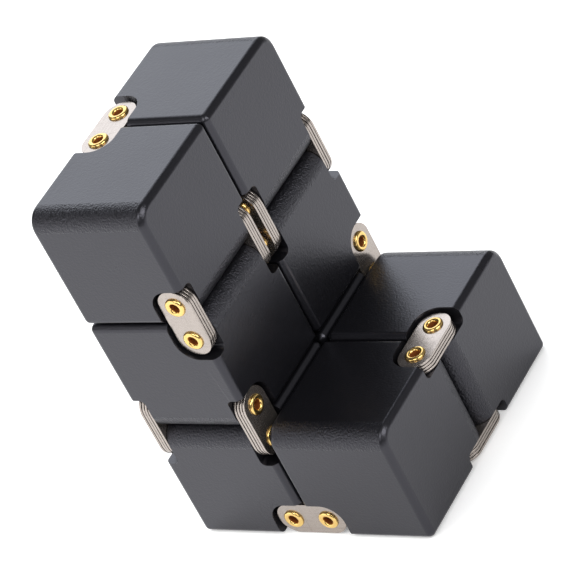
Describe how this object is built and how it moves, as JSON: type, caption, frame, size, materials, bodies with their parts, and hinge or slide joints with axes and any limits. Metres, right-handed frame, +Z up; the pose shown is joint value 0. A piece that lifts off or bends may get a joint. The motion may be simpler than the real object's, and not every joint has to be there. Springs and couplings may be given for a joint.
{
  "type": "folding fidget cube",
  "caption": "Palm-size folding fidget cube of black metal blocks in a closed hinged ring, half unfolded into an L, with steel link plates on hollow brass pins.",
  "frame": {"origin": "on the floor under the middle of the object's box, midway between the front and back blocks and at the face where the column and the foot meet", "axes": "+X from the three-block-high column towards the one-block-high foot, +Y from the front blocks to the back blocks, +Z up"},
  "size_m": [0.04, 0.04, 0.0602],
  "materials": {
    "anodised_blocks": "bead-blasted and black anodised, with a fine satin grain",
    "link_plates": "stamped plate, warm grey, lightly tumbled",
    "brass_pins": "bright, with rolled ends"
  },
  "bodies": {
    "column": {"base_back_block": "anodised_blocks", "base_front_block": "anodised_blocks", "middle_back_block": "anodised_blocks", "middle_front_block": "anodised_blocks", "waist_back_hinge_left_inner_plates": "link_plates", "waist_back_hinge_left_outer_plate": "link_plates", "waist_back_hinge_lower_pin": "brass_pins", "waist_back_hinge_right_inner_plates": "link_plates", "waist_back_hinge_right_outer_plate": "link_plates", "waist_back_hinge_upper_pin": "brass_pins", "waist_front_hinge_left_inner_plates": "link_plates", "waist_front_hinge_left_outer_plate": "link_plates", "waist_front_hinge_lower_pin": "brass_pins", "waist_front_hinge_right_inner_plates": "link_plates", "waist_front_hinge_right_outer_plate": "link_plates", "waist_front_hinge_upper_pin": "brass_pins"},
    "neck_links": {"neck_back_hinge_back_inner_plates": "link_plates", "neck_back_hinge_back_outer_plate": "link_plates", "neck_back_hinge_inside_inner_plates": "link_plates", "neck_back_hinge_inside_outer_plate": "link_plates", "neck_back_hinge_lower_pin": "brass_pins", "neck_back_hinge_upper_pin": "brass_pins", "neck_front_hinge_front_inner_plates": "link_plates", "neck_front_hinge_front_outer_plate": "link_plates", "neck_front_hinge_inside_inner_plates": "link_plates", "neck_front_hinge_inside_outer_plate": "link_plates", "neck_front_hinge_lower_pin": "brass_pins", "neck_front_hinge_upper_pin": "brass_pins"},
    "top_pair": {"top_back_block": "anodised_blocks", "top_front_block": "anodised_blocks", "top_hinge_back_pin": "brass_pins", "top_hinge_front_pin": "brass_pins", "top_hinge_lower_inner_plates": "link_plates", "top_hinge_lower_outer_plate": "link_plates", "top_hinge_upper_inner_plates": "link_plates", "top_hinge_upper_outer_plate": "link_plates"},
    "ankle_links": {"ankle_back_hinge_back_inner_plates": "link_plates", "ankle_back_hinge_back_outer_plate": "link_plates", "ankle_back_hinge_inside_inner_plates": "link_plates", "ankle_back_hinge_inside_outer_plate": "link_plates", "ankle_back_hinge_left_pin": "brass_pins", "ankle_back_hinge_right_pin": "brass_pins", "ankle_front_hinge_front_inner_plates": "link_plates", "ankle_front_hinge_front_outer_plate": "link_plates", "ankle_front_hinge_inside_inner_plates": "link_plates", "ankle_front_hinge_inside_outer_plate": "link_plates", "ankle_front_hinge_left_pin": "brass_pins", "ankle_front_hinge_right_pin": "brass_pins"},
    "foot_pair": {"foot_back_block": "anodised_blocks", "foot_front_block": "anodised_blocks", "foot_hinge_back_pin": "brass_pins", "foot_hinge_front_pin": "brass_pins", "foot_hinge_lower_inner_plates": "link_plates", "foot_hinge_lower_outer_plate": "link_plates", "foot_hinge_upper_inner_plates": "link_plates", "foot_hinge_upper_outer_plate": "link_plates"}
  },
  "joints": [
    {"name": "neck_lower_turn", "type": "hinge", "parent": "column", "child": "neck_links", "pos_m": [-0.003, 0, 0.03715], "axis": [0, 1, 0], "range_deg": [0, 90]},
    {"name": "neck_upper_turn", "type": "hinge", "parent": "neck_links", "child": "top_pair", "pos_m": [-0.003, 0, 0.04315], "axis": [0, 1, 0], "range_deg": [0, 90]},
    {"name": "ankle_column_turn", "type": "hinge", "parent": "column", "child": "ankle_links", "pos_m": [-0.003, 0, 0.00285], "axis": [0, 1, 0], "range_deg": [0, 90]},
    {"name": "ankle_foot_turn", "type": "hinge", "parent": "ankle_links", "child": "foot_pair", "pos_m": [0.003, 0, 0.00285], "axis": [0, 1, 0], "range_deg": [0, 90]}
  ]
}
